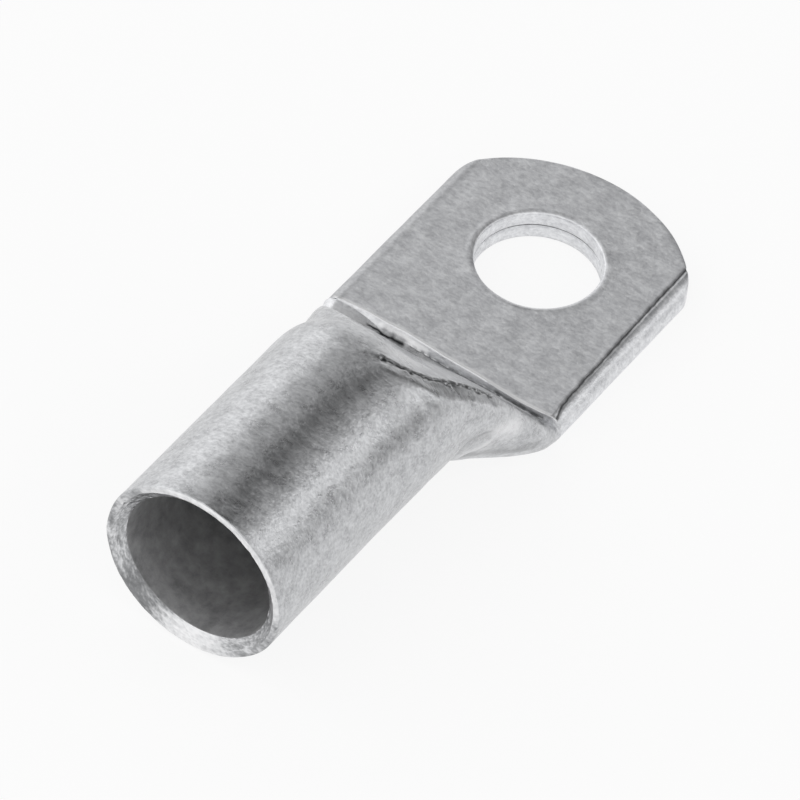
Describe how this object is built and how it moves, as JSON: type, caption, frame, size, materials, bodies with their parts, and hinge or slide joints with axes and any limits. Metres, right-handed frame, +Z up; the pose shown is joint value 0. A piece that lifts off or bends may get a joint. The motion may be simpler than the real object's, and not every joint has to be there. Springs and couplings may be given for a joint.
{
  "type": "cable lug",
  "caption": "One-piece tinned copper cable lug: a round barrel for a stranded conductor, pressed flat into a palm with a stud hole and an arc tip.",
  "frame": {"origin": "on the resting plane below the middle of the lug's length and width", "axes": "-X out of the barrel's mouth, +X to the palm's tip, +Z up out of the palm's upper face"},
  "size_m": [0.0972, 0.0366, 0.026],
  "materials": {
    "tinned_copper": "matt electroplated tin over copper, satin, slightly mottled"
  },
  "bodies": {
    "root": {"cable_lug": "tinned_copper"}
  },
  "joints": []
}
